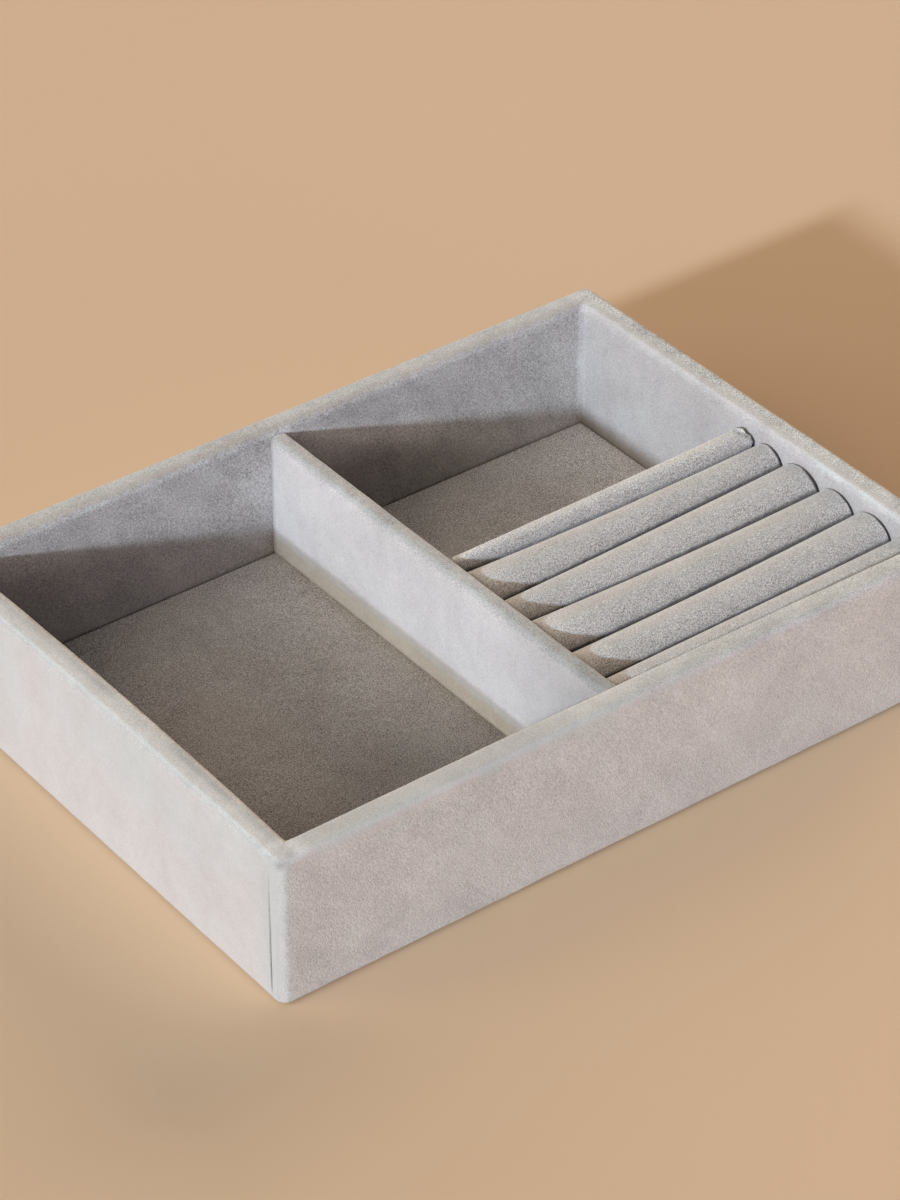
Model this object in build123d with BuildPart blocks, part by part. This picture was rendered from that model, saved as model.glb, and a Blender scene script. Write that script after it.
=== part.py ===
from build123d import *
from math import cos, radians, sin
import os

# Jewelry tray: a board box covered in velvet, with a fixed divider and a pad of ring rolls.
# Millimetres. The origin is the centre of the underside. +X runs along the long front wall
# from left to right, +Y from the front wall to the back wall, and +Z up.

os.makedirs("parts", exist_ok=True)

# Outside of the finished, covered tray
tray_length = 250.0
tray_width = 180.0
tray_height = 50.8
corner_round = 2.0
rim_round = 1.8

# Sheet materials
velvet = 1.0
wall_board = 6.0
base_board_thickness = 2.5
floor_card_thickness = 1.4
divider_board_thickness = 3.5
ring_card_thickness = 1.5

# Underside: the velvet is folded 15 mm under the base and slit at the mitred corners, and a
# felt sheet covers it, pressed thin where it laps the fold
sheet_lap = 0.6
sheet_inset = 4.0
sheet_corner = 3.0
fold_width = 15.0
mitre_gap = 0.5

# Carcass joints, and the butt seam where the wall velvet's two ends meet
rebate_depth = 3.0
seam_gap = 0.4
seam_from_corner = 5.0
seam_below_rim = 2.5

# Divider and ring pad
divider_middle = -3.35
divider_top = 49.4
floor_clearance = 0.4
floor_edge_round = 0.7
ring_gap_left = 0.3
ring_gap_right = 0.8
ring_slit = 0.1
gable_angle = 20.0
eave_share = 0.6
ridge_share = 1.6

# Heights of the layers
fold_bottom = sheet_lap
base_bottom = fold_bottom + velvet
base_top = base_bottom + base_board_thickness
floor_card_top = base_top + floor_card_thickness
floor_top = floor_card_top + velvet
ring_card_top = floor_top + ring_card_thickness
wall_board_top = tray_height - velvet

# Plan sizes of the layers
carcass_length = tray_length - 2 * velvet
carcass_width = tray_width - 2 * velvet
cavity_length = carcass_length - 2 * wall_board
cavity_width = carcass_width - 2 * wall_board
inside_length = cavity_length - 2 * velvet
inside_width = cavity_width - 2 * velvet
fold_window_length = tray_length - 2 * fold_width
fold_window_width = tray_width - 2 * fold_width
divider_thickness = divider_board_thickness + 2 * velvet
divider_right = divider_middle + divider_thickness / 2
rolls_left = divider_right + ring_gap_left
rolls_right = inside_length / 2 - ring_gap_right
roll_length = rolls_right - rolls_left

# The six ring rolls, back to front. They are soft and slightly uneven, so the slits between
# them and their crowns are given at both ends: (left end, right end).
slit_lines = (
    (2.5, 5.0),
    (-3.2, -4.1),
    (-20.2, -17.0),
    (-33.0, -33.8),
    (-52.0, -50.2),
    (-67.6, -66.5),
    (-inside_width / 2, -inside_width / 2),
)
crown_heights = (
    (45.8, 46.6),
    (46.9, 46.2),
    (45.2, 46.5),
    (47.6, 46.3),
    (45.4, 46.7),
    (45.8, 46.2),
)


def save(builder, name):
    builder.part.label = name
    export_step(builder.part, f"parts/{name}.step")


# Felt sheet under the base, with clipped corners: its middle fills the window that the
# folded velvet leaves
with BuildPart() as base_sheet:
    with BuildSketch(Plane.XY) as sheet_outline:
        Rectangle(tray_length - 2 * sheet_inset, tray_width - 2 * sheet_inset)
        chamfer(sheet_outline.vertices(), sheet_corner)
    extrude(amount=sheet_lap)
    with BuildSketch(Plane.XY.offset(sheet_lap)):
        Rectangle(fold_window_length, fold_window_width)
    extrude(amount=velvet)
save(base_sheet, "base_sheet")

# Base board, the full size of the carcass
with BuildPart() as base_board:
    with BuildSketch(Plane.XY.offset(base_bottom)):
        RectangleRounded(carcass_length, carcass_width, corner_round - velvet)
    extrude(amount=base_board_thickness)
save(base_board, "base_board")

# The long walls have a rebate at each end, and the short walls stand in the rebates
for name, side in (("front_wall_board", -1), ("back_wall_board", 1)):
    with BuildPart() as long_wall:
        with BuildSketch(Plane.XY.offset(base_top)):
            with Locations((0, side * (carcass_width - wall_board) / 2)):
                Rectangle(carcass_length, wall_board)
            rebate_y = side * (carcass_width / 2 - wall_board + rebate_depth / 2)
            rebate_x = (carcass_length - wall_board) / 2
            with Locations((rebate_x, rebate_y), (-rebate_x, rebate_y)):
                Rectangle(wall_board, rebate_depth, mode=Mode.SUBTRACT)
        extrude(amount=wall_board_top - base_top)
        outer_face = long_wall.faces().sort_by(Axis.Y)[-1 if side > 0 else 0]
        fillet(outer_face.edges().filter_by(Axis.Z), corner_round - velvet)
        top_edges = long_wall.faces().sort_by(Axis.Z)[-1].edges().filter_by(Axis.X)
        long_top = top_edges.filter_by(lambda edge: edge.length > cavity_length - 1)
        fillet(long_top, rim_round - velvet)
    save(long_wall, name)

for name, side in (("left_wall_board", -1), ("right_wall_board", 1)):
    with BuildPart() as short_wall:
        with BuildSketch(Plane.XY.offset(base_top)):
            with Locations((side * (carcass_length - wall_board) / 2, 0)):
                Rectangle(wall_board, cavity_width + 2 * rebate_depth)
        extrude(amount=wall_board_top - base_top)
        top_edges = short_wall.faces().sort_by(Axis.Z)[-1].edges().filter_by(Axis.Y)
        fillet(top_edges, rim_round - velvet)
    save(short_wall, name)

# Space that the base board and the four wall boards fill together
with BuildPart() as carcass:
    with BuildSketch(Plane.XY.offset(base_bottom)):
        RectangleRounded(carcass_length, carcass_width, corner_round - velvet)
    extrude(amount=wall_board_top - base_bottom)
    with BuildSketch(Plane.XY.offset(base_top)):
        Rectangle(cavity_length, cavity_width)
    extrude(amount=wall_board_top - base_top, mode=Mode.SUBTRACT)
    fillet(carcass.faces().sort_by(Axis.Z)[-1].edges(), rim_round - velvet)

# Wall velvet: one strip over the outside, the rim and the inside of all four walls, folded
# under the base, with its ends butted together on the left wall near the front corner
with BuildPart() as wall_velvet:
    with BuildSketch(Plane.XY.offset(fold_bottom)):
        RectangleRounded(tray_length, tray_width, corner_round)
    extrude(amount=tray_height - fold_bottom)
    fillet(wall_velvet.faces().sort_by(Axis.Z)[-1].edges(), rim_round)
    with BuildSketch(Plane.XY.offset(base_top)):
        Rectangle(inside_length, inside_width)
    extrude(amount=tray_height - base_top, mode=Mode.SUBTRACT)
    rim_inner = wall_velvet.faces().sort_by(Axis.Z)[-1].inner_wires()[0].edges()
    fillet(rim_inner, rim_round)
    add(carcass.part, mode=Mode.SUBTRACT)
    with BuildSketch(Plane.XY.offset(fold_bottom)):
        Rectangle(fold_window_length, fold_window_width)
        mitre_run = fold_width - 2 * velvet + mitre_gap
        mitre_x = (fold_window_length + mitre_run) / 2 - mitre_gap
        mitre_y = (fold_window_width + mitre_run) / 2 - mitre_gap
        for sign_x, sign_y in ((1, 1), (1, -1), (-1, 1), (-1, -1)):
            with Locations((sign_x * mitre_x, sign_y * mitre_y)):
                Rectangle(mitre_run * 2**0.5, mitre_gap, rotation=45 * sign_x * sign_y)
    extrude(amount=velvet, mode=Mode.SUBTRACT)
    with BuildSketch(Plane.XY.offset(fold_bottom)):
        with Locations(((velvet - tray_length) / 2, seam_from_corner - tray_width / 2)):
            Rectangle(velvet, seam_gap)
    extrude(amount=tray_height - seam_below_rim - fold_bottom, mode=Mode.SUBTRACT)
save(wall_velvet, "wall_velvet")

# Floor panel: a card with velvet over its top and down its four edges
panel_length = inside_length - 2 * floor_clearance
panel_width = inside_width - 2 * floor_clearance
with BuildPart() as floor_card:
    with BuildSketch(Plane.XY.offset(base_top)):
        Rectangle(panel_length - 2 * velvet, panel_width - 2 * velvet)
    extrude(amount=floor_card_thickness)
save(floor_card, "floor_card")

with BuildPart() as floor_velvet:
    with BuildSketch(Plane.XY.offset(base_top)):
        Rectangle(panel_length, panel_width)
    extrude(amount=floor_top - base_top)
    fillet(floor_velvet.faces().sort_by(Axis.Z)[-1].edges(), floor_edge_round)
    add(floor_card.part, mode=Mode.SUBTRACT)
save(floor_velvet, "floor_velvet")


# Section of an upright board with a full round top, drawn looking along Y
def draw_upright(thickness, top):
    left = divider_middle - thickness / 2
    right = divider_middle + thickness / 2
    shoulder = top - thickness / 2
    Polyline((left, shoulder), (left, floor_top), (right, floor_top), (right, shoulder))
    ThreePointArc((left, shoulder), (divider_middle, top), (right, shoulder))


# Divider: a board across the tray, standing on the floor velvet, with its own velvet cover
with BuildPart() as divider_board:
    with BuildSketch(Plane.XZ):
        with BuildLine():
            draw_upright(divider_board_thickness, divider_top - velvet)
        make_face()
    extrude(amount=inside_width / 2, both=True)
save(divider_board, "divider_board")

with BuildPart() as divider_velvet:
    with BuildSketch(Plane.XZ):
        with BuildLine():
            draw_upright(divider_thickness, divider_top)
        make_face()
    extrude(amount=inside_width / 2, both=True)
    add(divider_board.part, mode=Mode.SUBTRACT)
save(divider_velvet, "divider_velvet")

# Card under the ring rolls, cut to stop just inside the back of the rolls
card_back = min(slit_lines[0]) - velvet
card_front = slit_lines[-1][0]
with BuildPart() as ring_card:
    with BuildSketch(Plane.XY.offset(floor_top)):
        with Locations(((rolls_left + rolls_right) / 2, (card_back + card_front) / 2)):
            Rectangle(roll_length, card_back - card_front)
    extrude(amount=ring_card_thickness)
save(ring_card, "ring_card")


# A ring roll, or the foam inside it: a tapering block with its top planed to a gable, whose
# eaves and ridge are then rounded until they make one crown. The rounds follow the roll's
# narrow end, and an inset moves every face in by the same thickness.
def roll_block(number, inset):
    back_line = slit_lines[number - 1]
    front_line = slit_lines[number]
    half_widths = [(back - front) / 2 - ring_slit for back, front in zip(back_line, front_line)]
    eave_radius = eave_share * min(half_widths)
    ridge_radius = ridge_share * min(half_widths)
    slope = radians(gable_angle)
    ridge_cut = ridge_radius * (1 / cos(slope) - 1) - inset / cos(slope)
    ridge = []
    outline = []
    for end, x in enumerate((rolls_left, rolls_right)):
        middle = (back_line[end] + front_line[end]) / 2
        reach = half_widths[end] - inset
        ridge.append(Vector(x, middle, crown_heights[number - 1][end] + ridge_cut))
        outline.extend([(x, middle - reach), (x, middle + reach)])
    outline[2:] = outline[:1:-1]
    with BuildPart() as block:
        with BuildSketch(Plane.XY.offset(ring_card_top)):
            with BuildLine():
                Polyline(*outline, close=True)
            make_face()
        extrude(amount=tray_height - ring_card_top)
        for side in (-1, 1):
            down_slope = Vector(0, side * cos(slope), -sin(slope))
            gable_normal = side * (ridge[1] - ridge[0]).cross(down_slope)
            split(bisect_by=Plane(origin=ridge[0], z_dir=-gable_normal), keep=Keep.TOP)
        for which, radius in ((slice(-3, -1), eave_radius), (slice(-1, None), ridge_radius)):
            lengthwise = block.edges().filter_by(lambda edge: edge.length > roll_length / 2)
            fillet(lengthwise.sort_by(Axis.Z)[which], radius - inset)
    return block


# Ring rolls: a foam strip with a rounded crown, and the velvet wrapped over it
for number in range(1, len(crown_heights) + 1):
    ring_foam = roll_block(number, velvet)
    save(ring_foam, f"ring_foam_{number}")
    with BuildPart() as ring_velvet:
        add(roll_block(number, 0).part)
        add(ring_foam.part, mode=Mode.SUBTRACT)
    save(ring_velvet, f"ring_velvet_{number}")
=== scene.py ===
from math import cos, exp, pi, radians, sin

import bmesh
import bpy
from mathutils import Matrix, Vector, noise


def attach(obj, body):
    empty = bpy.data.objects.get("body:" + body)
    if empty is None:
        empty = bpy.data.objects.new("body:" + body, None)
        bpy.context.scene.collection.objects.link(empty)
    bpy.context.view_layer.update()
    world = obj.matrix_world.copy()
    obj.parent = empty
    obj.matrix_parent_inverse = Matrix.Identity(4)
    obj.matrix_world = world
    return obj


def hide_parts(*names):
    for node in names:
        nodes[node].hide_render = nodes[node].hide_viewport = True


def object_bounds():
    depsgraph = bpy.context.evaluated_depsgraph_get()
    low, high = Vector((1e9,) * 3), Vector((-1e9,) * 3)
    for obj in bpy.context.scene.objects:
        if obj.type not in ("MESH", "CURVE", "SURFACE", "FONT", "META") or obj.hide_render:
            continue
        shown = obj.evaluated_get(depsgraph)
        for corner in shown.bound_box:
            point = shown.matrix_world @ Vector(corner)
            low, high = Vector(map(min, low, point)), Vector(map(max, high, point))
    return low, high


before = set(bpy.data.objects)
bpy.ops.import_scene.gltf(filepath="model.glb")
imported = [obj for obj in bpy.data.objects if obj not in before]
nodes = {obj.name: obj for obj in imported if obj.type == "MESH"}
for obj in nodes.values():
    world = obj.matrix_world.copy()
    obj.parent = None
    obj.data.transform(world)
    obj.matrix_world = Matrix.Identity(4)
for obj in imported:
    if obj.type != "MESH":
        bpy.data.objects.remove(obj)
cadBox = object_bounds()
mm = 0.001
traySize = [round((high - low) / mm, 2) for low, high in zip(*cadBox)]

view = {"place": (-625.8, -826.1, 782.4), "target": (27.66, 35.11, 0.0), "lens": 128.62, "nearest": 50.0}
lampDistance = 2.0
lamps = {
    # a far window, its broad glow, the front of the room and its warm back: the direction from the
    # tray to the lamp, its strength, its colour, and its softness in degrees
    "keyLight": ((-3.1, -0.985, 1.0), 3.15, (0.75, 0.865, 1.0), 3.0),
    "windowGlow": ((-0.86, 0.02, 0.5), 1.85, (1.0, 0.85, 0.68), 70.0),
    "frontGlow": ((-0.2, -1.0, 0.16), 0.32, (1.0, 0.87, 0.98), 30.0),
    "warmRoom": ((0.8, 0.5, 0.3), 2.4, (1.0, 0.77, 0.60), 50.0),
}
studio = {
    "skyStrength": 0.0,
    "floorColour": (0.80, 0.60, 0.41),
    "floorShade": 0.9,  # its faint clouds, against its colour
    "floorCloud": 180.0,
    "floorReach": 3000.0,
}


def pointAt(thing, place, target):
    thing.location = Vector(place)
    thing.rotation_euler = (Vector(target) - Vector(place)).to_track_quat("-Z", "Y").to_euler()


def addToScene(thing):
    bpy.context.scene.collection.objects.link(thing)
    return thing


camera = addToScene(bpy.data.objects.new("camera", bpy.data.cameras.new("camera")))
camera.data.lens = view["lens"]
camera.data.clip_start = view["nearest"] * mm
pointAt(camera, Vector(view["place"]) * mm, Vector(view["target"]) * mm)
bpy.context.scene.camera = camera
bpy.context.scene.view_settings.view_transform = "Standard"

for name, (towards, strength, colour, soft) in lamps.items():
    light = bpy.data.lights.new(name, "SUN")
    light.energy = strength
    light.color = colour
    light.angle = radians(soft)
    lamp = addToScene(bpy.data.objects.new(name, light))
    pointAt(lamp, Vector(towards).normalized() * lampDistance, (0, 0, 0))

sky = bpy.data.worlds.new("studioSky")
sky.use_nodes = True
sky.node_tree.nodes["Background"].inputs["Strength"].default_value = studio["skyStrength"]
bpy.context.scene.world = sky
print("camera and light ready")


class Wire:
    # a socket that can be used in sums
    def __init__(self, maker, socket):
        self.maker = maker
        self.socket = socket

    def __add__(self, other):
        return self.maker.calc("ADD", self, other)

    def __radd__(self, other):
        return self.maker.calc("ADD", other, self)

    def __sub__(self, other):
        return self.maker.calc("SUBTRACT", self, other)

    def __rsub__(self, other):
        return self.maker.calc("SUBTRACT", other, self)

    def __mul__(self, other):
        return self.maker.calc("MULTIPLY", self, other)

    def __rmul__(self, other):
        return self.maker.calc("MULTIPLY", other, self)


class NodeMaker:
    # makes the nodes of one tree and joins them
    def __init__(self, tree):
        self.tree = tree

    def node(self, kind, settings=None, values=None, out=0):
        made = self.tree.nodes.new(kind)
        for name, value in (settings or {}).items():
            setattr(made, name, value)
        for name, value in (values or {}).items():
            if isinstance(value, Wire):
                self.tree.links.new(value.socket, made.inputs[name])
            else:
                made.inputs[name].default_value = value
        return Wire(self, made.outputs[out])

    def calc(self, operation, *values):
        return self.node("ShaderNodeMath", {"operation": operation}, dict(enumerate(values)))


class Finish(NodeMaker):
    def __init__(self, name):
        self.material = bpy.data.materials.new(name)
        self.material.use_nodes = True
        super().__init__(self.material.node_tree)
        self.tree.nodes.clear()

    def objectPlace(self, longer=(1, 1, 1), turn=(0, 0, 0)):
        # the pattern is drawn out along its own axes, which are turned by the given degrees
        values = {
            "Vector": self.node("ShaderNodeTexCoord", out="Object"),
            "Scale": longer,
            "Rotation": [radians(a) for a in turn],
        }
        return self.node("ShaderNodeMapping", {"vector_type": "TEXTURE"}, values)

    def noise(self, place, size, detail=2.0, rough=0.5, warp=0.0):
        # size of one patch in millimetres
        values = {"Scale": 1 / (size * mm), "Detail": detail, "Roughness": rough, "Distortion": warp}
        return self.node("ShaderNodeTexNoise", values={"Vector": place, **values})

    def span(self, value, low, high, newLow=0.0, newHigh=1.0):
        return self.node(
            "ShaderNodeMapRange",
            {"interpolation_type": "SMOOTHSTEP"},
            {"Value": value, "From Min": low, "From Max": high, "To Min": newLow, "To Max": newHigh},
        )

    def blend(self, factor, first, second):
        # each colour is three plain values or comes from another node
        first, second = [(*c, 1) if isinstance(c, tuple) else c for c in (first, second)]
        return self.node("ShaderNodeMix", {"data_type": "RGBA"}, {0: factor, 6: first, 7: second}, out=2)

    def marks(self, name):
        # a value kept on the mesh, such as where a dark seam or painted shade darkens the pile
        return self.node("ShaderNodeAttribute", {"attribute_name": name}, out="Fac")

    def bump(self, height, depth):
        values = {"Height": height, "Distance": depth * mm, "Strength": 1.0}
        return self.node("ShaderNodeBump", values=values)

    def surface(self, **values):
        named = {name.replace("_", " "): value for name, value in values.items()}
        shader = self.node("ShaderNodeBsdfPrincipled", values=named, out="BSDF")
        output = self.tree.nodes.new("ShaderNodeOutputMaterial")
        self.tree.links.new(shader.socket, output.inputs["Surface"])
        return self.material


velvetLook = {
    "pile": (0.515, 0.496, 0.494),
    "away": (0.478, 0.490, 0.484),  # pile that leans away, on the rims and the crowns
    "rubbed": (0.60, 0.63, 0.64),  # lighter pile: painted highlights and painted light, and frayed tufts
    # dark brown for the seam and for painted shade
    "crease": (0.045, 0.036, 0.032),
    "speck": 0.38,
    "cloud": 15.0,
    "sheen": 0.35,
    "depth": 0.12,
    # how much each pattern lightens and darkens the pile
    "speckShade": 1.7,
    "tuftShade": 0.4,
    "cloudShade": 0.5,
    "strokeShade": 0.24,
}


def makeVelvet(name, grain=1.0, specks=1.0, clouds=1.0, brushed=(1, 1, 1), turn=(0, 0, 0), **changed):
    look = {**velvetLook, **changed}
    finish = Finish(name)
    place = finish.objectPlace(brushed, turn)
    fine = finish.noise(place, look["speck"] * grain, 2.0, 0.6)
    tufts = finish.noise(place, look["speck"] * grain * 1.8, 2.0, 0.5)
    patches = finish.noise(place, look["cloud"], 4.0, 0.6, 0.5)
    strokes = finish.noise(place, look["cloud"] * 0.3, 3.0, 0.6, 0.8)
    grainy = finish.marks("grain")
    lean = (patches - 0.5) * look["cloudShade"] * clouds + (strokes - 0.5) * look["strokeShade"] * clouds
    lean = lean * (grainy * 0.8 + 0.2)
    nap = ((fine - 0.5) * look["speckShade"] * specks + (tufts - 0.5) * look["tuftShade"] * specks) * grainy
    leaning = finish.span(finish.marks("away") + (patches - 0.5) * 0.9 + (fine - 0.5) * 0.9, 0.2, 0.8)
    tone = finish.blend(leaning, look["pile"], look["away"])
    # lighter pile where the marks paint highlights and light, and at frayed tufts
    tone = finish.blend(finish.marks("rubbed"), tone, look["rubbed"])
    # the brightness mark paints light and shade into the pile's colour
    shade = (1 + lean + nap) * finish.marks("brightness")
    tone = finish.node("ShaderNodeVectorMath", {"operation": "SCALE"}, {0: tone, "Scale": shade})
    # the dark seam, and painted shade
    tone = finish.blend(finish.marks("seamAndShade"), tone, look["crease"])
    return finish.surface(
        Base_Color=tone,
        Roughness=0.95 - nap * 0.1,
        Normal=finish.bump(fine + tufts * 0.6 + strokes * 0.8, look["depth"]),
        Specular_IOR_Level=0.12,
        Sheen_Weight=look["sheen"],
        Sheen_Roughness=0.4,
        Sheen_Tint=(1.0, 0.99, 0.98, 1),
    )


wallVelvet = makeVelvet("greyVelvetWalls", clouds=1.3, brushed=(1, 1, 1.8), turn=(0, -38, 0))
floorVelvet = makeVelvet("greyVelvetFloor", specks=2.3)
rollVelvet = makeVelvet(
    "greyVelvetRolls",
    grain=0.9,
    specks=1.8,
    clouds=0.6,
    sheen=0.45,
    away=(0.474, 0.483, 0.482),
    rubbed=(0.56, 0.60, 0.64),
)


def makeBoard(name, light, dark, fibre):
    # long fibres pressed together, with coarser flecks between them
    finish = Finish(name)
    place = finish.objectPlace()
    fibres = finish.noise(place, fibre, 4.0, 0.7)
    flecks = finish.noise(place, fibre * 4.5, 2.0, 0.5)
    darkness = finish.span(fibres, 0.3, 0.7) * 0.7 + finish.span(flecks, 0.4, 0.65) * 0.3
    return finish.surface(
        Base_Color=finish.blend(darkness, light, dark),
        Roughness=0.82 + fibres * 0.12,
        Normal=finish.bump(fibres, 0.06),
        Specular_IOR_Level=0.2,
    )


def makeFelt(name, light, dark, tangle):
    finish = Finish(name)
    matted = finish.noise(finish.objectPlace(), tangle, 5.0, 0.75, 1.2)
    tone = finish.blend(finish.span(matted, 0.3, 0.7), dark, light)
    return finish.surface(
        Base_Color=tone,
        Roughness=0.97 - matted * 0.04,
        Normal=finish.bump(matted, 0.3),
        Specular_IOR_Level=0.1,
        Sheen_Weight=0.3,
        Sheen_Roughness=0.6,
    )


def makeFoam(name, light, dark, cell):
    finish = Finish(name)
    values = {"Vector": finish.objectPlace(), "Scale": 1 / (cell * mm)}
    cells = finish.node("ShaderNodeTexVoronoi", {"feature": "F1"}, values, out="Distance")
    tone = finish.blend(finish.span(cells, 0.15, 0.75), dark, light)
    return finish.surface(
        Base_Color=tone,
        Roughness=0.86 + cells * 0.1,
        Normal=finish.bump(cells, 0.18),
        Specular_IOR_Level=0.2,
    )


mdf = makeBoard("woodFibreBoard", (0.50, 0.37, 0.235), (0.33, 0.22, 0.13), 0.8)
greyboard = makeBoard("pressedGreyboard", (0.42, 0.40, 0.37), (0.29, 0.275, 0.25), 1.1)
baseFelt = makeFelt("charcoalFelt", (0.13, 0.13, 0.132), (0.055, 0.055, 0.058), 1.6)
foamFinish = makeFoam("softFoam", (0.60, 0.60, 0.585), (0.36, 0.36, 0.35), 0.7)

boards = {
    mdf: ("front_wall_board", "back_wall_board", "left_wall_board", "right_wall_board", "divider_board"),
    greyboard: ("base_board", "floor_card", "ring_card"),
}
for material, nodeNames in boards.items():
    for nodeName in nodeNames:
        for slot in nodes[nodeName].material_slots:
            slot.material = material
print("materials ready")


def smooth(low, high, value):
    step = min(1.0, max(0.0, (value - low) / (high - low)))
    return step * step * (3 - 2 * step)


def bell(value, centre, width):
    # 1 at the centre, falling off softly to both sides
    return exp(-(((value - centre) / width) ** 2))


def ripple(size, seed, *place):
    # smooth random value from about -1 to 1, changing over the given size in millimetres
    spot = [p / size for p in place] + [0.0] * (3 - len(place))
    return noise.noise(Vector(spot) + Vector((seed * 7.31, seed * 3.17, seed * 5.77)))


def arc(centre, radius, start, end, count):
    turn = [radians(start + (end - start) * n / count) for n in range(count + 1)]
    return [(centre[0] + radius * cos(a), centre[1] + radius * sin(a)) for a in turn]


def steps(start, end, size):
    count = max(1, round(abs(end - start) / size))
    return [start + (end - start) * n / count for n in range(count + 1)]


def meshFromRows(name, rows, closedRow=False, drop=None):
    # rows of points in millimetres; faces join each row to the next
    mesh = bpy.data.meshes.new(name)
    sheet = bmesh.new()
    grid = [[sheet.verts.new(Vector(p) * mm) for p in row] for row in rows]
    count = len(rows)
    for r in range(count if closedRow else count - 1):
        here, there = grid[r], grid[(r + 1) % count]
        for c in range(len(here) - 1):
            if drop and drop(r, c):
                continue
            sheet.faces.new((here[c], there[c], there[c + 1], here[c + 1]))
    loose = [v for v in sheet.verts if not v.link_faces]
    bmesh.ops.delete(sheet, geom=loose, context="VERTS")
    sheet.to_mesh(mesh)
    sheet.free()
    return addToScene(bpy.data.objects.new(name, mesh))


def mergeDoubles(piece, gap=0.004):
    sheet = bmesh.new()
    sheet.from_mesh(piece.data)
    bmesh.ops.remove_doubles(sheet, verts=sheet.verts, dist=gap * mm)
    bmesh.ops.dissolve_degenerate(sheet, edges=sheet.edges, dist=gap * mm)
    sheet.to_mesh(piece.data)
    sheet.free()


def applyModifiers(piece):
    bpy.context.view_layer.update()
    graph = bpy.context.evaluated_depsgraph_get()
    solid = bpy.data.meshes.new_from_object(piece.evaluated_get(graph))
    old = piece.data
    piece.modifiers.clear()
    piece.data = solid
    solid.name = piece.name
    bpy.data.meshes.remove(old)
    return piece


def thicken(piece, thickness=1.0):
    skin = piece.modifiers.new("thickness", "SOLIDIFY")
    skin.thickness = thickness * mm
    skin.offset = -1.0
    skin.use_even_offset = True
    skin.use_rim = True
    return applyModifiers(piece)


def shadeSmooth(piece):
    piece.data.polygons.foreach_set("use_smooth", [True] * len(piece.data.polygons))


def mark(piece, name, valueAt):
    layer = piece.data.attributes.new(name, "FLOAT", "POINT")
    layer.data.foreach_set("value", [valueAt(v.co / mm, v.normal) for v in piece.data.vertices])


def dress(piece, material, slotName, *nodeNames):
    piece.data.materials.clear()
    piece.data.materials.append(material)
    shadeSmooth(piece)
    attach(piece, "root")
    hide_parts(*nodeNames)
    return piece


wall = {
    "length": traySize[0],
    "width": traySize[1],
    "height": traySize[2],
    "boardAndVelvet": 8.0,
    "cornerRound": 3.0,
    "cornerTurns": (15, 30, 45, 60, 75),
    "rimRound": 2.1,
    "foldBottom": 0.6,
    "foldRound": 0.9,
    "foldReach": 15.0,
    "mitreGap": 0.35,
    "insideBottom": 4.1,
    "step": 2.4,
    "foldStep": 2.2,
    "rimStep": 0.9,
}
outerX, outerY = wall["length"] / 2, wall["width"] / 2
innerX, innerY = outerX - wall["boardAndVelvet"], outerY - wall["boardAndVelvet"]
rightBayStart = -0.6  # where the divider's right face stands
seam = {
    "place": -85.0,
    "top": 47.5,
    "depth": 0.8,
    "width": 0.2,
    "clear": 1.6,
    "rows": (-1.3, -0.8, -0.45, -0.22, -0.1, 0, 0.1, 0.22, 0.45, 0.8, 1.3),
}
# how far the left and the front rim bow in at the outer and the inner edge, growing between two heights
rimBow = {"left": (0.75, 1.3), "front": (0.15, 0.4), "heights": (14, 50)}
# edges that stand fuller, each with how much, centred a little before the edge
fuller = {
    "edgesX": ((-innerX, 0.4), (outerX, 0.65)),
    "edgesY": ((-innerY, 0.4), (outerY, 0.75)),
    "height": 50.2,
    "inset": 0.6,
    "spread": 1.2,
    "lift": 0.5,
}
pinch = {
    "place": (2.1 - outerX, 1.4 - outerY, wall["height"] - 1.5),
    "spread": (2.2, 1.7, 1.7),
    "move": (0.25, 0.3, -0.35),
    "darkPlace": (1.8 - outerX, 1.3 - outerY, wall["height"] - 1.4),
    "darkSpread": (1.5, 1.2, 1.2),
}


def wallSection():
    # (depth behind the outer face, height), from under the base, over the rim, to the floor
    s = wall
    fold, rim, inner = s["foldRound"], s["rimRound"], -s["boardAndVelvet"]
    foldTop, rimStart = s["foldBottom"] + fold, s["height"] - rim
    path = [(-d, s["foldBottom"]) for d in steps(s["foldReach"], fold + 1.1, s["foldStep"])]
    path += arc((-fold, foldTop), fold, -90, 0, 4)
    path += [(0.0, z) for z in steps(foldTop + 1, rimStart - 1.2, s["step"])]
    path += arc((-rim, rimStart), rim, 0, 90, 7)
    path += [(d, s["height"]) for d in steps(-rim - s["rimStep"], inner + rim + s["rimStep"], s["rimStep"])]
    path += arc((inner + rim, rimStart), rim, 90, 180, 7)
    path += [(inner, z) for z in steps(rimStart - 1.2, s["insideBottom"], s["step"])]
    return path


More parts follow.
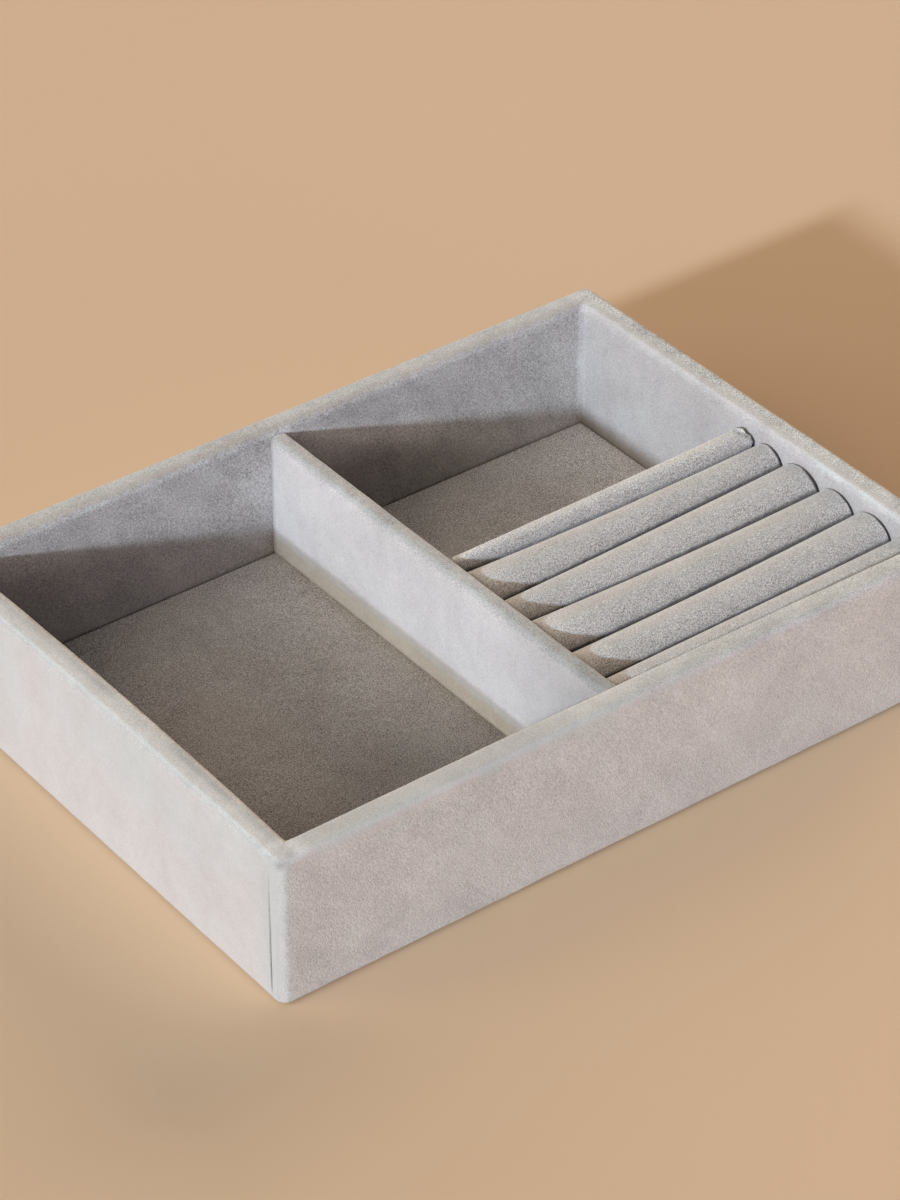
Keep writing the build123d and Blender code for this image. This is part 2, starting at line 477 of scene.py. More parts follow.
def buildWallCover():
    s = wall
    path = wallSection()
    corner = s["cornerRound"]
    lastUnder = max(n for n, (depth, z) in enumerate(path) if depth < -2.5 and z < 1.0)
    sides = (
        ((0, -1), (1, 0), outerX, outerY),
        ((1, 0), (0, 1), outerY, outerX),
        ((0, 1), (-1, 0), outerX, outerY),
        ((-1, 0), (0, -1), outerY, outerX),
    )
    rows = []
    isCorner = []
    for out, along, half, reach in sides:

        def point(place, away, z):
            return out[0] * away + along[0] * place, out[1] * away + along[1] * place, z

        stops = steps(-(half - corner), half - corner, s["step"])
        if out == (-1, 0):
            # closer rows beside the seam
            close = [-seam["place"] + k for k in seam["rows"]]
            stops = sorted([p for p in stops if abs(p + seam["place"]) > seam["clear"]] + close)
        for n, stop in enumerate(stops):
            row = []
            for r, (depth, z) in enumerate(path):
                straight = half - max(corner, -depth)
                place = stop * straight / (half - corner)
                if r <= lastUnder:
                    # under the base the four folds stop short of each other
                    place = max(-(straight - s["mitreGap"]), min(straight - s["mitreGap"], place))
                row.append(point(place, reach + depth, z))
            rows.append(row)
            isCorner.append(n == len(stops) - 1)
        for turn in s["cornerTurns"]:
            row = []
            for depth, z in path:
                inset, bend = max(corner, -depth), max(0.0, corner + depth)
                place = half - inset + bend * sin(radians(turn))
                row.append(point(place, reach - inset + bend * cos(radians(turn)), z))
            rows.append(row)
            isCorner.append(True)
    cover = meshFromRows("wallCover", rows, closedRow=True, drop=lambda r, c: isCorner[r] and c < lastUnder)
    mergeDoubles(cover)
    for v in cover.data.vertices:
        place = v.co / mm
        for shift in (fullerEdges, bowedRims, unevenRim, pinchedCorner, wavedFaces, foldedSeam):
            place = shift(*place)
        v.co = Vector(place) * mm
    cover.data.update()
    return cover


def fullerEdges(x, y, z):
    # the velvet stands a little fuller along the edges that face away from the window
    s = fuller
    top = bell(z, s["height"], s["spread"])
    toRight = top * sum(most * bell(x, edge - s["inset"], s["spread"]) for edge, most in s["edgesX"])
    toBack = top * sum(most * bell(y, edge - s["inset"], s["spread"]) for edge, most in s["edgesY"])
    return x + toRight, y + toBack, z + s["lift"] * (toRight + toBack)


def bowedRims(x, y, z):
    # the long soft bow of the left wall's rim, and a slight one of the front wall's
    high = smooth(*rimBow["heights"], z)
    if x < 2 - innerX:
        outer, inner = rimBow["left"]
        sag = high * max(0.0, 1 - (y / innerY) ** 2)
        x += sag * (outer + (inner - outer) * smooth(-outerX, -innerX, x))
    if y < 2 - innerY:
        outer, inner = rimBow["front"]
        sag = high * max(0.0, 1 - (x / innerX) ** 2)
        y += sag * (outer + (inner - outer) * smooth(-outerY, -innerY, y))
    return x, y, z


def unevenRim(x, y, z):
    # velvet wrapped by hand is never quite even along the rim, or along the foot
    rim = smooth(46, 50.5, z)
    x += rim * 0.10 * ripple(14, 1, x, y)
    y += rim * 0.10 * ripple(14, 2, x, y)
    z += rim * (0.12 * ripple(18, 3, x, y) + 0.04 * ripple(5, 4, x, y))
    foot = smooth(4, 1.2, z)
    z += foot * 0.16 * (0.6 + ripple(9, 7, x, y))
    return x, y, z


def nearSpot(point, centre, spread):
    share = 1.0
    for value, middle, width in zip(point, centre, spread):
        share *= bell(value, middle, width)
    return share


def pinchedCorner(x, y, z):
    # the pinched fold where the strip turns the near corner
    share = nearSpot((x, y, z), pinch["place"], pinch["spread"])
    return [value + share * move for value, move in zip((x, y, z), pinch["move"])]


def wavedFaces(x, y, z):
    # faint waves on the flat faces
    if z <= 3:
        return x, y, z
    onLong = min(abs(abs(y) - outerY), abs(abs(y) - innerY)) < 0.3
    wave = 0.07 * ripple(22, 5, x, y, z) + 0.035 * ripple(7, 6, x, y, z)
    return (x, y + wave, z) if onLong else (x + wave, y, z)


def foldedSeam(x, y, z):
    # the butt seam on the left wall closes to a soft fold near the rim, and draws in the cloth beside it
    s = seam
    if x < 1.2 - outerX and 0.3 < z < s["top"] + 2:
        off = y - s["place"] - 0.12 * ripple(9, 8, z)
        gaping = 1 - 0.8 * smooth(22, 42, z)
        fade = (1 - smooth(s["top"] - 5, s["top"] + 1.5, z)) * smooth(2, 5, z)
        x += fade * gaping * s["depth"] * bell(off, 0, s["width"])
        x -= fade * 0.12 * bell(abs(off), 0.8, 0.4)
        x += 0.05 * ripple(2.4, 9, y, z / 9) * smooth(-70, -78, y)
    return x, y, z


def straightened(p):
    # place on the rim with the bow of the left and front walls taken out
    high = smooth(*rimBow["heights"], p.z)
    x, y = p.x, p.y
    if p.x < 7 - innerX:
        x -= high * sum(rimBow["left"]) / 2 * max(0.0, 1 - (p.y / innerY) ** 2)
    if p.y < 7 - innerY:
        y -= high * sum(rimBow["front"]) / 2 * max(0.0, 1 - (p.x / innerX) ** 2)
    return x, y


# painted highlights on the rims
rimHighlights = {"inner": 0.45, "innerUneven": 0.6, "rightEdge": 0.8, "rightRim": 0.45, "backRim": 0.35}


def wallHighlights(p, n):
    # painted highlight lines along the inner edges of the left and front rims and the right rim's outer
    # edge, and wider painted light on the outer halves of the far rims
    s = rimHighlights
    x, y = straightened(p)
    toInner = min(abs(abs(x) - innerX), abs(abs(y) - innerY))
    inside = smooth(1.8, 0.4, toInner) * (s["inner"] + s["innerUneven"] * ripple(5, 11, p.x, p.y, p.z))
    lines = (
        inside if min(p.x, p.y + 30) < 0 else 0.0,
        s["rightEdge"] * smooth(1.2, 0.2, outerX - p.x),
        s["rightRim"] * smooth(2.5, 4.5, p.x - innerX),
        s["backRim"] * smooth(2.5, 5.5, p.y - innerY),
    )
    return smooth(48.6, 50.2, p.z) * max(lines)


# the border of the painted shadow low on the back wall: where each bay starts, its length, and the border's
# height at the start
paintedBackShadow = {"left": (-innerX, 111.0, 46), "right": (0.0, innerX, 40), "fall": 16, "blend": 13, "fade": 0.6}


def backShadowDepth(p):
    # painted shadow low on the back wall, stronger at the left end of each bay
    s = paintedBackShadow
    start, length, high = s["left"] if p.x < -3 else s["right"]
    share = (p.x - start) / length
    border = high - s["fall"] * share
    return smooth(border, border - s["blend"], p.z) * (1 - s["fade"] * share)


jointAndShadeWeights = {"seamWidth": 0.24, "pinch": 0.4, "paintedBackShadow": 0.22}


def wallSeamAndShade(p, n):
    # the dark seam, painted shade in the pinched fold at the near corner, and the painted shadow low on the
    # back wall
    dark = 0.0
    if p.x < 1.5 - outerX and p.z < seam["top"] + 2:
        fade = (1 - smooth(seam["top"] - 6, seam["top"] + 1, p.z)) * smooth(2.5, 5.5, p.z)
        dark = fade * bell(p.y, seam["place"], jointAndShadeWeights["seamWidth"]) * (1 - 0.8 * smooth(14, 42, p.z))
    atPinch = nearSpot(p, pinch["darkPlace"], pinch["darkSpread"])
    inBack = smooth(0.3, 0.9, -n.y) if abs(p.y - innerY) < 2 else 0.0
    return max(dark, jointAndShadeWeights["pinch"] * atPinch, jointAndShadeWeights["paintedBackShadow"] * inBack * backShadowDepth(p))


wallGrains = {
    "all": 0.85,
    "outLeft": -0.6,
    "outFront": -0.25,
    "inBack": 0.3,
    "inRight": -0.25,
    "rim": 0.15,
    "rimRight": -0.3,
    "rimRightMiddle": 0.75,
    "rimHandled": -0.55,
}


def wallGrain(p, n):
    # the pile shows most on the rim and the back wall, and least on the outside of the left wall
    s = wallGrains
    rim = smooth(46, 50, p.z)
    outLeft = smooth(0.4, 0.9, -n.x) if p.x < 0 else 0.0
    inBack = smooth(0.3, 0.9, -n.y) if p.y > innerY - 2 else 0.0
    inRight = smooth(0.1, 0.8, -n.x) if p.x > innerX - 7 else 0.0
    outFront = smooth(0.3, 0.9, -n.y) if p.y < 5 - outerY else 0.0
    handled = max(0.9 * smooth(-1, 2, -p.x - innerX), smooth(-2, 1, -p.y - innerY) * smooth(70, -60, p.x))
    onRim = s["rim"] + s["rimRight"] * smooth(-7, -2, p.x - innerX) + s["rimHandled"] * handled
    onRim += s["rimRightMiddle"] * smooth(2.8, 4.6, p.x - innerX)
    onFaces = s["outLeft"] * outLeft + s["inRight"] * inRight
    return s["all"] + onRim * rim + onFaces * (1 - rim) + s["inBack"] * inBack + s["outFront"] * outFront


def wallAway(p, n):
    # the pile lies over on the rim, with a mottled border to the faces
    cloudy = 0.22 + 0.3 * ripple(26, 13, p.x, p.y, p.z)
    if p.x < 5 - outerX:
        cloudy += 0.5 * smooth(-76, -86, p.y) + 0.3 * smooth(15, 42, p.z)
    if p.y < 1.5 - outerY:
        patches = smooth(-0.15, 0.35, ripple(9, 14, p.x, p.z))
        cloudy += 0.7 * smooth(36, 48, p.z) * patches * smooth(60, -60, p.x)
    # less of the leaning tone within the painted shadow on the back wall
    if abs(p.y - innerY) < 2:
        cloudy -= 0.3 * backShadowDepth(p)
    if p.z < 44:
        return cloudy
    start = 0.4 if p.y < 2 - outerY else 0.05
    lies = 0.9 * smooth(start, 1.05, n.z + 0.35 * ripple(5, 12, p.x, p.y, p.z))
    if p.x > innerX:
        lies *= 0.6 + 0.5 * smooth(2.2, 4.2, p.x - innerX + 1.5 * ripple(7, 16, p.y))
    elif p.y > innerY:
        lies *= 0.4 + 0.6 * smooth(2, 5.5, p.y - innerY + 1.5 * ripple(7, 17, p.x))
    return max(cloudy, lies)


wallShade = {
    # painted light above 0 and painted shade below, for each face, rounding and rim
    "outFront": 0.4,
    "outLeft": -0.09,
    "inRight": -0.23,
    "inBack": 0.11,
    "paintedBackShadow": -0.36,
    "dividerShadow": 0.45,
    "rim": 0.28,
    "rimBack": (0.04, 0.12),
    "rimRight": (0.36, -0.1),
    "rimLeft": 0.23,
    "leftBand": -0.42,
    "leftTurn": (-0.6, 0.24),
    "frontInner": 0.12,
    "frontOuter": -0.04,
    "frontTurn": -0.02,
    "cornerTurn": -0.1,
    "cornerFront": -0.16,
}


def rimLift(p, n):
    # painted light and shade on the top of the rim
    s = wallShade
    toLeft = max(0.0, -n.x)
    lift = s["rim"]
    if p.y > innerY - 2:
        lift = s["rimBack"][0] + s["rimBack"][1] * smooth(2.5, 5, p.y - innerY)
    if p.x > innerX:
        lift = s["rimRight"][0] + s["rimRight"][1] * smooth(2.5, 4.5, p.x - innerX)
    if p.x < 3 - innerX:
        band = bell(-straightened(p)[0] - innerX, 2.3, 1.3) * (0.8 + 0.7 * ripple(14, 15, p.y))
        turned = s["leftTurn"][0] + s["leftTurn"][1] * max(0.0, n.z)
        lift += s["rimLeft"] + s["leftBand"] * band + turned * toLeft
    elif p.y < 2 - innerY:
        overFront = -p.y - innerY
        edges = s["frontInner"] * smooth(5.5, 1.5, overFront) + s["frontOuter"] * smooth(4, 7, overFront)
        lift += smooth(-70, 0, p.x) * edges
    return lift


def wallBrightness(p, n):
    # painted light and shade on each face, corner, rounding and rim of the wall
    s = wallShade
    toFront, toLeft, up = max(0.0, -n.y), max(0.0, -n.x), max(0.0, n.z)
    shade = 1.0
    if p.y < 5 - outerY:
        shade += s["outFront"] * smooth(0.25, 0.95, -n.y)
    if p.x < 5 - outerX:
        shade += s["outLeft"] * smooth(0.2, 0.8, -n.x) + s["cornerTurn"] * 2 * toFront * toLeft
        if p.y < 5 - outerY:
            shade += s["cornerFront"] * 3 * toLeft * toFront ** 3
    if p.x > innerX - 7:
        inRight = smooth(0.02, 0.5, -n.x)
        if p.x > innerX:
            inRight *= 1 - 0.3 * smooth(47, 49.5, p.z)
        shade += s["inRight"] * inRight
    if p.y > innerY - 2:
        inBack = smooth(0.3, 0.9, -n.y)
        shade += inBack * (s["inBack"] + s["paintedBackShadow"] * backShadowDepth(p))
        away = p.x - rightBayStart
        if away > 0:
            # painted light gives the divider's shadow a wide, soft edge here
            shade += s["dividerShadow"] * inBack * bell(p.z, 49.2 - 0.41 * away, 0.08 * away + 1)
    if p.z > 40:
        shade += rimLift(p, n) * smooth(0.5, 0.95, n.z)
    return shade + s["frontTurn"] * 2 * toFront * up


wallCover = buildWallCover()
thicken(wallCover)
mark(wallCover, "rubbed", wallHighlights)
mark(wallCover, "seamAndShade", wallSeamAndShade)
mark(wallCover, "grain", wallGrain)
mark(wallCover, "away", wallAway)
mark(wallCover, "brightness", wallBrightness)
dress(wallCover, wallVelvet, "grey_velvet", "wall_velvet")
print("wall velvet ready", len(wallCover.data.polygons))


floorPanel = {
    "length": 2 * (innerX - 0.4),
    "width": 2 * (innerY - 0.4),
    "top": 6.5,
    "bottom": wall["insideBottom"],
    "edgeRound": 0.8,
    "step": 2.4,
}
divider = {
    "middle": rightBayStart - 2.75,  # by half of its thickness
    "thickness": 5.5,
    "bottom": floorPanel["top"],
    "top": 49.2,
    "leftRound": 1.9,
    "rightRound": 0.9,
    "step": 1.8,
}


def buildFloorCover():
    s = floorPanel
    drop = s["top"] - s["bottom"]
    rounding = [radians(a) for a in (15, 30, 45, 60, 75, 90)]

    def line(half):
        # (place, height fallen) across the panel, with rounded edges that turn down
        flat = [(p, 0.0) for p in steps(-(half - s["edgeRound"]), half - s["edgeRound"], s["step"])]
        edge = [(half - s["edgeRound"] * (1 - sin(a)), s["edgeRound"] * (1 - cos(a))) for a in rounding]
        edge += [(half, fall) for fall in steps(s["edgeRound"] + 0.5, drop, 0.6)]
        return [(-p, f) for p, f in reversed(edge)] + flat + edge

    xs, ys = line(s["length"] / 2), line(s["width"] / 2)
    rows = []
    for x, fallX in xs:
        row = []
        for y, fallY in ys:
            fall = max(fallX, fallY)
            z = s["top"] - fall
            if fall == 0:
                z += 0.10 * ripple(45, 21, x, y) + 0.04 * ripple(11, 22, x, y)
            row.append((x, y, z))
        rows.append(row)
    cover = meshFromRows("floorCover", rows)
    mergeDoubles(cover)
    return cover


def floorBrightness(p, n):
    # painted shade towards the front, and painted light at the back of the right bay
    bay = 0.32 * smooth(10, 70, p.y) if p.x > divider["middle"] else 0.03
    return 1.04 + bay - 0.5 * smooth(15, -80, p.y)


floorCover = buildFloorCover()
thicken(floorCover)
mark(floorCover, "rubbed", lambda p, n: 0.0)
mark(floorCover, "seamAndShade", lambda p, n: 0.0)
mark(floorCover, "grain", lambda p, n: 1.0)
mark(floorCover, "away", lambda p, n: 0.3)
mark(floorCover, "brightness", floorBrightness)
dress(floorCover, floorVelvet, "grey_velvet", "floor_velvet")
print("floor velvet ready", len(floorCover.data.polygons))


def buildDividerCover():
    s = divider
    half = s["thickness"] / 2
    left, right = s["middle"] - half, s["middle"] + half
    soft, crisp = s["leftRound"], s["rightRound"]
    path = [(left, z) for z in steps(s["bottom"], s["top"] - soft - 0.8, 0.9)]
    path += arc((left + soft, s["top"] - soft), soft, 180, 90, 7)
    path += [(x, s["top"]) for x in steps(left + soft + 0.6, right - crisp - 0.5, 0.6)]
    path += arc((right - crisp, s["top"] - crisp), crisp, 90, 0, 5)
    path += [(right, z) for z in steps(s["top"] - crisp - 0.8, s["bottom"], 2.0)]
    rows = []
    for y in steps(innerY, -innerY, s["step"]):
        row = []
        for x, z in path:
            crown = smooth(42, 49, z)
            x += crown * (0.10 * ripple(9, 31, y) + 0.06 * ripple(4, 32, y, z))
            z += crown * (0.14 * ripple(13, 33, y) + 0.07 * ripple(4, 34, y, x))
            x += 0.05 * ripple(18, 35, y, z) * (1 - crown)
            row.append((x, y, z))
        rows.append(row)
    return meshFromRows("dividerCover", rows)


def dividerHighlightLine(p):
    # painted highlight line along the right edge of the top
    return smooth(47, 49, p.z) * smooth(1.9, 2.4, p.x - divider["middle"])


def dividerFoot(p, n):
    # the strip in the left wall's shadow, lightened by painted light in the lighter pile colour
    return smooth(0.3, 0.9, -n.x) * smooth(15.5, 11.5, p.z)


def dividerBrightness(p, n):
    # painted light and shade: darker towards the front, lighter in the foot strip, at the shadow's edge and
    # on the top, darker on the left rounding, and a painted highlight on the right edge
    left = smooth(0.3, 0.9, -n.x)
    top = smooth(0.4, 0.9, n.z)
    turning = 2 * max(0.0, -n.x) * max(0.0, n.z)
    foot = 0.5 * dividerFoot(p, n) + 0.16 * left * bell(p.z, 16.2, 1)
    edge = dividerHighlightLine(p)
    return 1.0 - 0.3 * smooth(-30, -80, p.y) + foot + 0.13 * top - 0.2 * turning + 0.5 * edge


def dividerAway(p, n):
    # a cooler tone on the top, and in the foot strip to go with its painted light
    onTop = smooth(0.4, 0.95, n.z + 0.3 * ripple(4, 37, p.y, p.z))
    return max(0.15 + 0.75 * onTop, 0.8 * smooth(16, 12, p.z))


dividerCover = buildDividerCover()
thicken(dividerCover)
# painted highlight on the right edge, and the lighter pile of the foot strip's painted light
mark(dividerCover, "rubbed", lambda p, n: max(dividerHighlightLine(p), 0.9 * dividerFoot(p, n)))
# painted shade in a thin line below the right rounding
mark(dividerCover, "seamAndShade", lambda p, n: 0.8 * smooth(0.7, 0.95, n.x) * smooth(44, 48, p.z))
mark(dividerCover, "grain", lambda p, n: 0.45 + 0.6 * smooth(44, 49, p.z))
mark(dividerCover, "away", dividerAway)
mark(dividerCover, "brightness", dividerBrightness)
dress(dividerCover, wallVelvet, "grey_velvet", "divider_velvet")
print("divider velvet ready", len(dividerCover.data.polygons))


rolls = {
    "left": rightBayStart + 0.3,
    "right": innerX - 0.8,
    "base": floorPanel["top"] + 1.5,
    "crownRise": 6.2,
    "slitGap": 0.1,
    # from back to front: the place at the left end, at the right end, and the bow between them
    "slits": (
        (1.1, 5.0, 0.0),
        (-4.4, -4.0, -1.3),
        (-22.5, -17.3, -0.3),
        (-35.4, -34.5, -1.2),
        (-54.0, -50.4, -1.0),
        (-69.9, -67.1, -0.2),
        (-innerY, -innerY, 0.0),
    ),
    "crowns": ((47.8, 46.6), (47.6, 46.2), (46.9, 46.4), (47.9, 46.2), (46.9, 46.5), (46.6, 46.0)),
    "coverGrid": (78, 61),
    "foamGrid": (12, 41),
    "foamInset": 1.05,
}
swell = {
    "most": 0.45,  # a cap on how far a crown may swell
    "pressure": 100.0,
    "stretch": 1.0,
    "shear": 0.33,
    "bend": 0.1,
    "held": (2.2, 3.6),  # from free to held, by the depth below the crown
    "heldEnds": (2.5, 0.5),  # by the distance from either end
    "frames": 20,
}
# painted shade in the slits and at the cut right ends, and painted light and shade over each roll
rollMarks = {
    "cutEdges": (0.5, 0.7, 1.1, 0.5, 0.55, 0.5),  # width of the painted shade in the gap at the right end
    "nicks": ((112.9, 0.42, 0.7), (114.3, 0.2, 0.8)),  # place, share of the way back and darkness
    "firstSlit": 2.55,  # depth below the crown at which the painted shade in the slit begins
    "otherSlits": 2.95,
    "shade": 1.28,
    "flank": -0.16,
    "farSide": -0.12,
    "dividerShadowLift": 0.22,
    "firstBack": 0.24,
}


def crownAt(number, along):
    left, right = rolls["crowns"][number]
    return left + (right - left) * along


def slitAt(number, along):
    left, right, bow = rolls["slits"][number]
    return left + (right - left) * along + bow * 4 * along * (1 - along)


def shareAlong(x):
    return (x - rolls["left"]) / (rolls["right"] - rolls["left"])


def ringRollTree():
    # one tree makes every roll and the foam in it, as a grid bent over a half-round crown
    tree = bpy.data.node_groups.new("ringRoll", "GeometryNodeTree")
    sizes = ["Left End", "Right End", "Front Left", "Front Right", "Front Bow"]
    sizes += ["Back Left", "Back Right", "Back Bow", "Crown Left", "Crown Right", "Base", "Rise"]
    inputs = [(name, "NodeSocketFloat") for name in sizes]
    inputs += [("Along", "NodeSocketInt"), ("Across", "NodeSocketInt"), ("Finish", "NodeSocketMaterial")]
    for name, kind in inputs:
        tree.interface.new_socket(name=name, in_out="INPUT", socket_type=kind)
    tree.interface.new_socket(name="Geometry", in_out="OUTPUT", socket_type="NodeSocketGeometry")
    maker = NodeMaker(tree)
    given = {name: Wire(maker, socket) for name, socket in tree.nodes.new("NodeGroupInput").outputs.items()}
    result = tree.nodes.new("NodeGroupOutput")

    def between(share, first, second):
        return share * (second - first) + first

    counts = {"Vertices X": given["Along"], "Vertices Y": given["Across"]}
    grid = maker.node("GeometryNodeMeshGrid", values={"Size X": 1.0, "Size Y": 1.0, **counts})
    position = maker.node("GeometryNodeInputPosition")
    evenly = 0.5 - maker.node("ShaderNodeSeparateXYZ", values={0: position}, out="X")
    across = maker.node("ShaderNodeSeparateXYZ", values={0: position}, out="Y") + 0.5
    along = 1.0 - maker.calc("POWER", evenly, 1.6)  # closer together towards the cut right end
    side = 0.2  # share of the strip that stands upright on each side
    overCrown = {"Value": across, "From Min": side, "From Max": 1 - side, "To Min": 0.0, "To Max": 1.0}
    turn = maker.node("ShaderNodeMapRange", values=overCrown) * pi
    bow = along * (1.0 - along) * 4.0
    front = between(along, given["Front Left"], given["Front Right"]) + bow * given["Front Bow"]
    back = between(along, given["Back Left"], given["Back Right"]) + bow * given["Back Bow"]
    crown = between(along, given["Crown Left"], given["Crown Right"])
    shoulder = crown - given["Rise"]
    fold = maker.calc("SINE", turn) * given["Rise"] + shoulder
    toSide = maker.calc("MINIMUM", across, 1.0 - across)
    climb = maker.calc("MINIMUM", maker.calc("DIVIDE", toSide, side), 1.0)
    upright = maker.calc("LESS_THAN", toSide, side - 0.0001)
    x = between(along, given["Left End"], given["Right End"])
    y = (back + front) * 0.5 - maker.calc("COSINE", turn) * ((back - front) * 0.5)
    z = between(upright, fold, between(climb, given["Base"], shoulder))
    spot = maker.node("ShaderNodeCombineXYZ", values={"X": x, "Y": y, "Z": z})
    moved = maker.node("GeometryNodeSetPosition", values={"Geometry": grid, "Position": spot})
    whole = maker.node("GeometryNodeRealizeInstances", values={"Geometry": moved})
    values = {"Geometry": whole, "Material": given["Finish"]}
    finished = maker.node("GeometryNodeSetMaterial", values=values)
    tree.links.new(finished.socket, result.inputs["Geometry"])
    return tree


def setInputs(modifier, values):
    ids = {item.name: item.identifier for item in modifier.node_group.interface.items_tree}
    for name, value in values.items():
        modifier[ids[name]] = value


def growRoll(name, tree, number, inset, grid, material):
    s = rolls
    back, front = s["slits"][number], s["slits"][number + 1]
    crown = s["crowns"][number]
    gap = s["slitGap"] + inset
    piece = addToScene(bpy.data.objects.new(name, bpy.data.meshes.new(name)))
    modifier = piece.modifiers.new("roll", "NODES")
    modifier.node_group = tree
    narrow = min(back[0] - front[0], back[1] - front[1]) / 2
    sizes = {
        "Left End": s["left"],
        "Right End": s["right"],
        "Front Left": front[0] + gap,
        "Front Right": front[1] + gap,
        "Front Bow": front[2],
        "Back Left": back[0] - gap,
        "Back Right": back[1] - gap,
        "Back Bow": back[2],
        "Crown Left": crown[0] - inset,
        "Crown Right": crown[1] - inset,
        "Base": s["base"],
        "Rise": min(s["crownRise"], narrow * 1.1) - inset,  # a narrow roll has a flatter crown
    }
    setInputs(modifier, {name: size * mm for name, size in sizes.items()})
    setInputs(modifier, {"Along": grid[0], "Across": grid[1], "Finish": material})
    return applyModifiers(piece)


def plumpCrown(piece, number):
    # the velvet over the foam is run as cloth under light, uneven pressure and held below the shoulders
    s = swell
    start = [v.co.copy() for v in piece.data.vertices]
    held = piece.vertex_groups.new(name="held")
    pushed = piece.vertex_groups.new(name="pushed")
    for n, spot in enumerate(start):
        p = spot / mm
        low = crownAt(number, shareAlong(p.x)) - p.z
        toEnd = min(p.x - rolls["left"], rolls["right"] - p.x)
        held.add([n], max(smooth(*s["held"], low), smooth(*s["heldEnds"], toEnd)), "REPLACE")
        pushed.add([n], 0.55 + 0.45 * ripple(16, 60 + number, p.x, p.y), "REPLACE")
    cloth = piece.modifiers.new("cloth", "CLOTH")
    cloth.settings.quality = 5
    cloth.settings.use_pressure = True
    cloth.settings.uniform_pressure_force = s["pressure"]
    cloth.settings.tension_stiffness = s["stretch"]
    cloth.settings.compression_stiffness = s["stretch"]
    cloth.settings.shear_stiffness = s["shear"]
    cloth.settings.bending_stiffness = s["bend"]
    cloth.settings.vertex_group_pressure = "pushed"
    cloth.settings.vertex_group_mass = "held"
    cloth.settings.effector_weights.gravity = 0.0
    cloth.collision_settings.use_collision = False
    for frameNumber in range(1, s["frames"] + 1):
        bpy.context.scene.frame_set(frameNumber)
    applyModifiers(piece)
    bpy.context.scene.frame_set(1)
    longest = s["most"] * mm
    moved = 0.0
    for n, v in enumerate(piece.data.vertices):
        move = v.co - start[n]
        if move.length > longest:
            move *= longest / move.length
        v.co = start[n] + move
        moved = max(moved, move.length / mm)
    piece.vertex_groups.clear()
    return moved


def frayEnd(piece, reach=4.5):
    # the first roll's velvet is cut unevenly at its right end
    edge = rolls["right"]
    for v in piece.data.vertices:
        p = v.co / mm
        near = smooth(edge - reach, edge, p.x)
        cut = 1.0 + 0.9 * ripple(1.3, 51, p.y, p.z) + 0.8 * ripple(3.2, 53, p.y, p.z)
        v.co.x -= near * max(0.15, cut) * mm
        v.co.z += near * 0.45 * ripple(1.7, 54, p.y, p.x) * mm
    piece.data.update()


def closeEnds(piece, grid):
    # joins the two lower edges of a foam strip by a flat bottom, then fills its two ends
    along, across = grid
    strip = bmesh.new()
    strip.from_mesh(piece.data)
    strip.verts.ensure_lookup_table()
    for n in range(along - 1):
        corners = (n * across, (n + 1) * across, (n + 2) * across - 1, (n + 1) * across - 1)
        strip.faces.new([strip.verts[c] for c in corners])
    bmesh.ops.holes_fill(strip, edges=[e for e in strip.edges if e.is_boundary], sides=0)
    bmesh.ops.recalc_face_normals(strip, faces=strip.faces)
    strip.to_mesh(piece.data)
    strip.free()


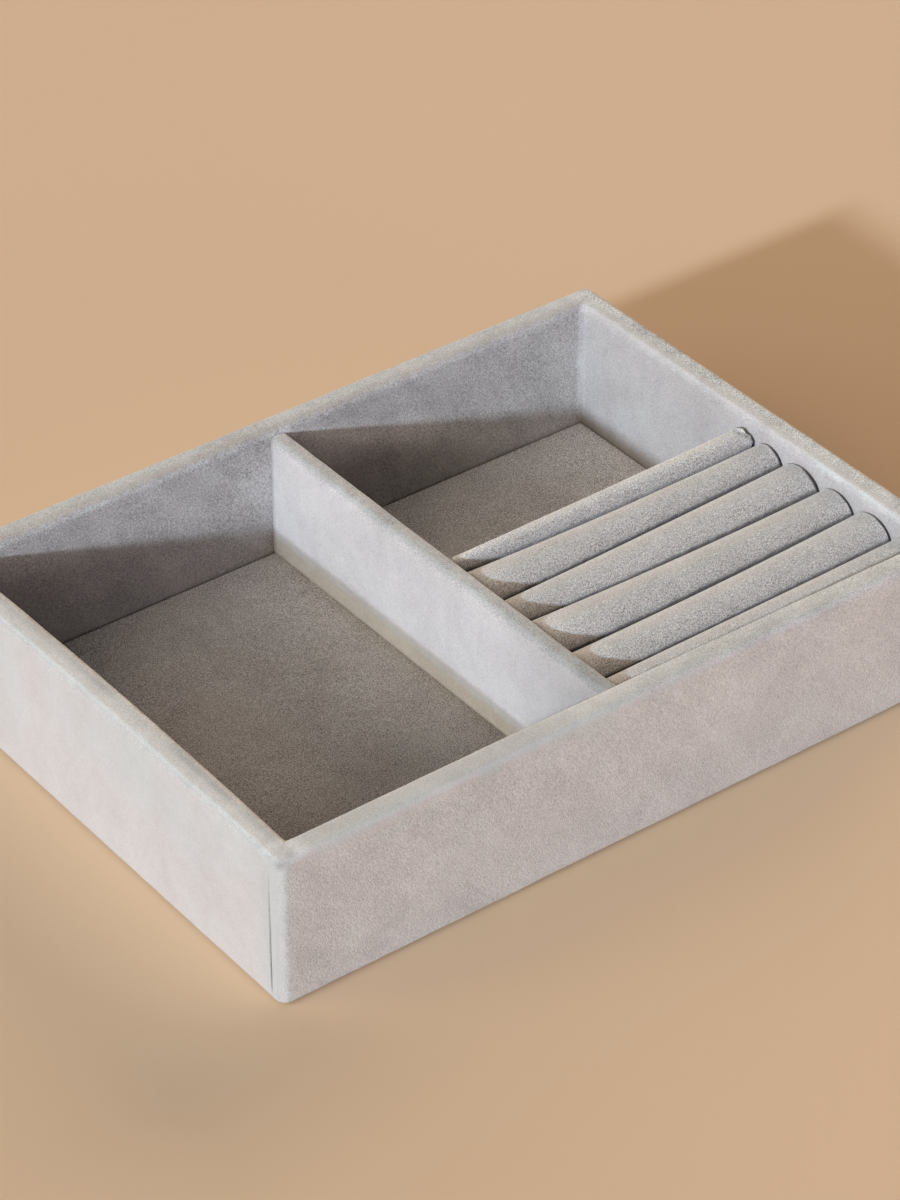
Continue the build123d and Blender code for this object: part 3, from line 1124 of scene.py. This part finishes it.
def markRoll(cover, number):
    s = rollMarks
    isFirst = number == 0

    def across(p):
        # share of the way from front to back, and the depth below its crown and the next roll's
        along = shareAlong(p.x)
        back, front = slitAt(number, along), slitAt(number + 1, along)
        share = (p.y - front) / (back - front)
        beside = min(5, max(0, number + (1 if share < 0.5 else -1)))
        return share, min(crownAt(number, along), crownAt(beside, along)) - p.z

    # painted shade in the slits, in the gap at the cut right end and on the cut face, and the painted
    # shadow of the front rim on the last roll; dark nicks at the frayed end
    def seamAndShade(p, n):
        share, depth = across(p)
        start = s["firstSlit"] if isFirst else s["otherSlits"]
        depth += 0.3 * ripple(1.5, 56, p.x, number)
        inSlit = (0.9 - 0.0016 * p.x) * smooth(start, start + 0.9, depth)
        if isFirst and share > 0.5:
            inSlit = 0.0
        wider = 0.45 + 0.55 * smooth(0.62, 0.25, share)
        reach = s["cutEdges"][number] * wider * (1 + 0.4 * ripple(0.8, 57, p.y))
        cutEdge = smooth(reach, reach * 0.35, rolls["right"] - p.x) * smooth(0.62, 0.3, share)
        if isFirst:
            torn = max(deep * bell(p.x, x, 0.5) * bell(share, at, 0.07) for x, at, deep in s["nicks"])
            cutEdge = max(0.6 * cutEdge, torn)
        cutFace = smooth(0.6, 0.9, n.x)
        nearWall = 0.62 * smooth(0.385, 0.35, share) * smooth(0.05, 0.3, share) if number == 5 else 0.0
        return min(0.97, max(inSlit, 0.95 * cutEdge, 0.9 * cutFace, nearWall))

    def brightness(p, n):
        # painted light and shade: darker flanks and far side, lighter in the divider's shadow and on the
        # back of the first roll
        dividerShadowLift = smooth(15, 2, p.x - rolls["left"]) * smooth(0.9, 0.2, -n.y)
        shade = s["shade"] + s["flank"] * smooth(0.15, 0.95, -n.y) + s["dividerShadowLift"] * dividerShadowLift
        shade += s["farSide"] * smooth(0.1, 0.7, n.y)
        if isFirst:
            shade += s["firstBack"] * smooth(0.15, 0.5, across(p)[0])
            shade += 0.16 * ripple(1.3, 52, p.x, p.z / 6) * smooth(104, 112, p.x)
        return shade

    def rubbed(p, n):
        # painted sheen on the far side, and lighter tufts at the frayed end of the first roll
        tuft = 0.0
        if isFirst:
            atEnd = smooth(112.5, 114.2, p.x) * smooth(0.35, 0.6, across(p)[0])
            tuft = atEnd * smooth(-0.2, 0.5, ripple(0.9, 55, p.x, p.y))
        return max(tuft, 0.6 * smooth(0.1, 0.6, n.y))

    mark(cover, "rubbed", rubbed)
    mark(cover, "seamAndShade", seamAndShade)
    mark(cover, "grain", lambda p, n: 0.75 + 0.35 * smooth(-0.2, 0.6, -n.y))
    mark(cover, "away", lambda p, n: smooth(0.75, 0.1, -n.y) * (1.0 if number < 5 else 1.2))
    mark(cover, "brightness", brightness)


rollTree = ringRollTree()
for number in range(6):
    cover = growRoll(f"ringRoll{number + 1}", rollTree, number, 0.0, rolls["coverGrid"], rollVelvet)
    print("crown", number + 1, "swelled by", round(plumpCrown(cover, number), 2), "mm")
    if number == 0:
        frayEnd(cover)
    thicken(cover)
    markRoll(cover, number)
    dress(cover, rollVelvet, "grey_velvet", f"ring_velvet_{number + 1}")
    foamGrid = rolls["foamGrid"]
    core = growRoll(f"ringFoam{number + 1}", rollTree, number, rolls["foamInset"], foamGrid, foamFinish)
    closeEnds(core, foamGrid)
    dress(core, foamFinish, "foam", f"ring_foam_{number + 1}")
print("ring rolls ready")


felt = {"margin": 4.0, "corner": 3.0, "thickness": 0.55, "step": 4}


def buildBaseFelt():
    s = felt
    halfX, halfY = outerX - s["margin"], outerY - s["margin"]
    rows = []
    for x in steps(-halfX, halfX, s["step"]):
        row = []
        for y in steps(halfY, -halfY, s["step"]):
            over = max(0.0, abs(x) + abs(y) - (halfX + halfY - s["corner"])) / 2
            px = x - over * (1 if x > 0 else -1)
            py = y - over * (1 if y > 0 else -1)
            row.append((px, py, 0.03 * (1 + ripple(20, 41, x, y))))
        rows.append(row)
    return meshFromRows("baseFelt", rows)


feltSheet = buildBaseFelt()
thicken(feltSheet, felt["thickness"])
dress(feltSheet, baseFelt, "base_felt", "base_sheet")
print("base felt ready")


def makeTable():
    finish = Finish("paleTable")
    clouds = finish.noise(finish.objectPlace(), studio["floorCloud"], 2.0, 0.5)
    darker = tuple(c * studio["floorShade"] for c in studio["floorColour"])
    tone = finish.blend(clouds * 0.25, studio["floorColour"], darker)
    return finish.surface(Base_Color=tone, Roughness=0.9, Specular_IOR_Level=0.1)


reach = studio["floorReach"]
tableRows = [[(x, y, 0) for y in (reach, -reach)] for x in (-reach, reach)]
table = meshFromRows("tableTop", tableRows)
table.data.materials.append(makeTable())

print("whole tray ready")
